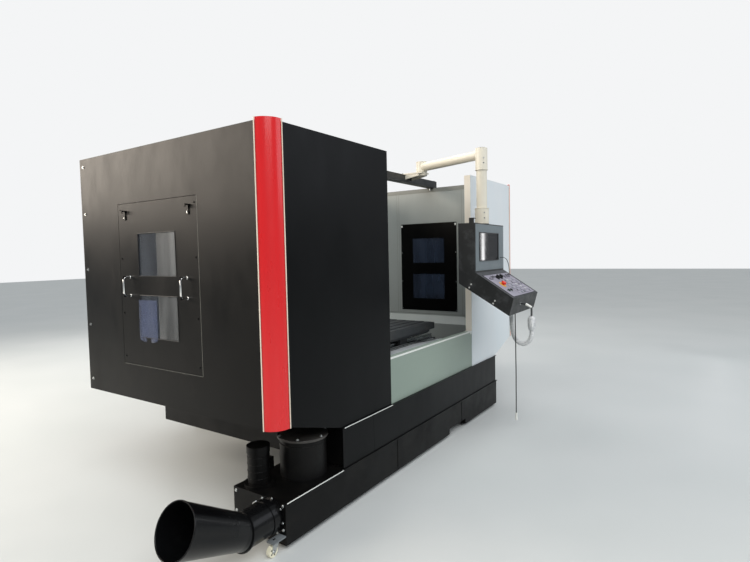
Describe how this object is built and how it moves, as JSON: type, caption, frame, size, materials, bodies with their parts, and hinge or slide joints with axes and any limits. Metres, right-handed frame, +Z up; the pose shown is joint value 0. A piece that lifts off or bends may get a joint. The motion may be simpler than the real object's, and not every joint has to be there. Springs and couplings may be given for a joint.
{
  "type": "cnc machining center",
  "caption": "Vertical machining centre in a wide sheet enclosure with an open front, side hatches, chip auger and tank, flared spout, and an operator pendant on a swinging boom.",
  "frame": {"origin": "on the floor, at the middle of the four anchor holes in the corner levelling pads", "axes": "+X to the right along the wide front, +Y from the front to the rear, +Z up"},
  "size_m": [4.2198, 3.2845, 2.63],
  "materials": {
    "black_paint": "gloss powder coat, black",
    "dark_casting": "dark grey machine enamel on cast iron",
    "ground_steel": "ground and hardened steel",
    "plate_steel": "bright steel sheet",
    "foot_steel": "grey painted steel",
    "liner_paint": "light grey semi-gloss paint",
    "red_paint": "gloss red paint",
    "white_paint": "white semi-gloss paint",
    "zinc_sheet": "grey-green semi-matt paint",
    "cream_paint": "cream semi-gloss paint",
    "grey_paint": "mid grey paint",
    "beam_paint": "dark grey paint",
    "head_paint": "dark grey paint on cast iron",
    "motor_paint": "matt black paint",
    "window_pane": "clear laminated glass",
    "auger_steel": "worn steel",
    "pot_paint": "dark paint with a bare lid",
    "cabinet_paint": "light grey textured paint",
    "pendant_paint": "dark grey textured paint",
    "face_sheet": "grey printed front sheet",
    "screen_glass": "dark glossy display",
    "key_sheet": "pale matt key sheet",
    "red_plastic": "red plastic",
    "black_plastic": "black plastic",
    "green_plastic": "blue-green plastic",
    "wheel_plastic": "pale hard polyurethane",
    "caster_steel": "zinc plated steel",
    "wrap_white": "white wrapping over the hand unit and its cable",
    "cord_black": "black cable sheath",
    "plug_white": "pale plastic plug"
  },
  "bodies": {
    "machine": {"levelling_feet": "foot_steel", "base_casting": "dark_casting", "guide_rails": "ground_steel", "axis_motors": "motor_paint", "column": "dark_casting", "magazine_housing": "grey_paint", "way_cover_1": "plate_steel", "chip_pan": "black_paint", "front_skirt": "black_paint", "apron": "zinc_sheet", "front_panel_left": "black_paint", "front_panel_right": "white_paint", "side_panel_left": "black_paint", "side_panel_right": "black_paint", "corner_strips": "red_paint", "inner_wall_left": "liner_paint", "inner_wall_right": "liner_paint", "inner_hatches": "black_paint", "inner_windows": "window_pane", "rear_wall": "liner_paint", "roof_beam": "beam_paint", "coolant_tank": "black_paint", "filter_pot": "pot_paint", "discharge_spout": "black_paint", "electrical_cabinet": "cabinet_paint", "boom_post": "cream_paint"},
    "saddle_body": {"saddle": "dark_casting", "saddle_rails": "ground_steel", "saddle_covers": "plate_steel"},
    "cover_plate": {"way_cover_2": "plate_steel"},
    "table_body": {"table": "dark_casting"},
    "head_body": {"spindle_head": "head_paint", "spindle_motor": "motor_paint"},
    "spindle_body": {"spindle": "ground_steel"},
    "magazine": {"magazine_disc": "grey_paint"},
    "tool_arm": {"change_arm": "ground_steel"},
    "auger": {"chip_auger": "auger_steel"},
    "hatch_left": {"left_hatch": "black_paint", "left_hatch_windows": "window_pane"},
    "hatch_right": {"right_hatch": "black_paint", "right_hatch_windows": "window_pane"},
    "boom": {"boom_arm": "cream_paint"},
    "pendant": {"pendant_housing": "pendant_paint", "pendant_face": "face_sheet", "pendant_screen": "screen_glass", "key_panel": "key_sheet", "hand_unit": "wrap_white", "hand_unit_cable": "wrap_white", "data_cable": "cord_black", "data_plug": "plug_white"},
    "stop_mushroom": {"estop_button": "red_plastic"},
    "feed_dial": {"feed_knob": "black_plastic"},
    "speed_dial": {"spindle_knob": "black_plastic"},
    "start_key": {"start_button": "green_plastic"},
    "hold_key": {"stop_button": "black_plastic"},
    "fork_front": {"caster_fork_front": "caster_steel"},
    "wheel_front": {"caster_wheel_front": "wheel_plastic"},
    "fork_rear": {"caster_fork_rear": "caster_steel"},
    "wheel_rear": {"caster_wheel_rear": "wheel_plastic"},
    "door": {"cabinet_door": "cabinet_paint"}
  },
  "joints": [
    {"name": "saddle_y", "type": "slide", "parent": "machine", "child": "saddle_body", "axis": [0, 1, 0], "range_m": [-0.02, 0.5]},
    {"name": "cover_y", "type": "slide", "parent": "machine", "child": "cover_plate", "axis": [0, 1, 0], "range_m": [-0.01, 0.25]},
    {"name": "table_x", "type": "slide", "parent": "saddle_body", "child": "table_body", "axis": [1, 0, 0], "range_m": [-0.55, 0.55]},
    {"name": "head_z", "type": "slide", "parent": "machine", "child": "head_body", "axis": [0, 0, 1], "range_m": [-0.3, 0.3]},
    {"name": "spindle_spin", "type": "hinge", "parent": "head_body", "child": "spindle_body", "pos_m": [0, -0.45, 1.4], "axis": [0, 0, 1], "continuous": true},
    {"name": "magazine_spin", "type": "hinge", "parent": "machine", "child": "magazine", "pos_m": [-0.48, -0.45, 1.85], "axis": [1, 0, 0], "continuous": true},
    {"name": "arm_swing", "type": "hinge", "parent": "machine", "child": "tool_arm", "pos_m": [-0.3, -0.45, 1.352], "axis": [0, 0, 1], "range_deg": [0, 180]},
    {"name": "auger_spin", "type": "hinge", "parent": "machine", "child": "auger", "pos_m": [0, -1.238, 0.165], "axis": [1, 0, 0], "continuous": true},
    {"name": "left_hatch_off", "type": "slide", "parent": "machine", "child": "hatch_left", "axis": [-1, 0, 0], "range_m": [0, 0.5]},
    {"name": "right_hatch_off", "type": "slide", "parent": "machine", "child": "hatch_right", "axis": [1, 0, 0], "range_m": [0, 0.5]},
    {"name": "boom_swing", "type": "hinge", "parent": "machine", "child": "boom", "pos_m": [0.76, -0.82, 2.321], "axis": [0, 0, 1], "range_deg": [-15, 15]},
    {"name": "pendant_turn", "type": "hinge", "parent": "boom", "child": "pendant", "pos_m": [0.51, -1.53, 1.783], "axis": [0, 0, 1], "range_deg": [-40, 10]},
    {"name": "stop_press", "type": "slide", "parent": "pendant", "child": "stop_mushroom", "axis": [-0.019, 0.5447, -0.8384], "range_m": [0, 0.006]},
    {"name": "feed_turn", "type": "hinge", "parent": "pendant", "child": "feed_dial", "pos_m": [0.39508, -1.70611, 1.33203], "axis": [0.019, -0.5447, 0.8384], "range_deg": [-135, 135]},
    {"name": "speed_turn", "type": "hinge", "parent": "pendant", "child": "speed_dial", "pos_m": [0.47203, -1.70342, 1.33203], "axis": [0.019, -0.5447, 0.8384], "range_deg": [-135, 135]},
    {"name": "start_press", "type": "slide", "parent": "pendant", "child": "start_key", "axis": [-0.019, 0.5447, -0.8384], "range_m": [0, 0.004], "stiffness_N_per_m": 600, "springref_m": -0.004},
    {"name": "hold_press", "type": "slide", "parent": "pendant", "child": "hold_key", "axis": [-0.019, 0.5447, -0.8384], "range_m": [0, 0.004], "stiffness_N_per_m": 600, "springref_m": -0.004},
    {"name": "front_swivel", "type": "hinge", "parent": "machine", "child": "fork_front", "pos_m": [-1.8, -1.322, 0.07], "axis": [0, 0, 1], "continuous": true},
    {"name": "front_roll", "type": "hinge", "parent": "fork_front", "child": "wheel_front", "pos_m": [-1.818, -1.322, 0.03], "axis": [0, 1, 0], "continuous": true},
    {"name": "rear_swivel", "type": "hinge", "parent": "machine", "child": "fork_rear", "pos_m": [-1.8, -0.978, 0.07], "axis": [0, 0, 1], "continuous": true},
    {"name": "rear_roll", "type": "hinge", "parent": "fork_rear", "child": "wheel_rear", "pos_m": [-1.818, -0.978, 0.03], "axis": [0, 1, 0], "continuous": true},
    {"name": "door_swing", "type": "hinge", "parent": "machine", "child": "door", "pos_m": [-0.629, 1.3113, 1.22], "axis": [0, 0, 1], "range_deg": [0, 110]}
  ],
  "couplings": [
    {"joint": "cover_y", "follows": "saddle_y", "ratio": 0.5}
  ]
}
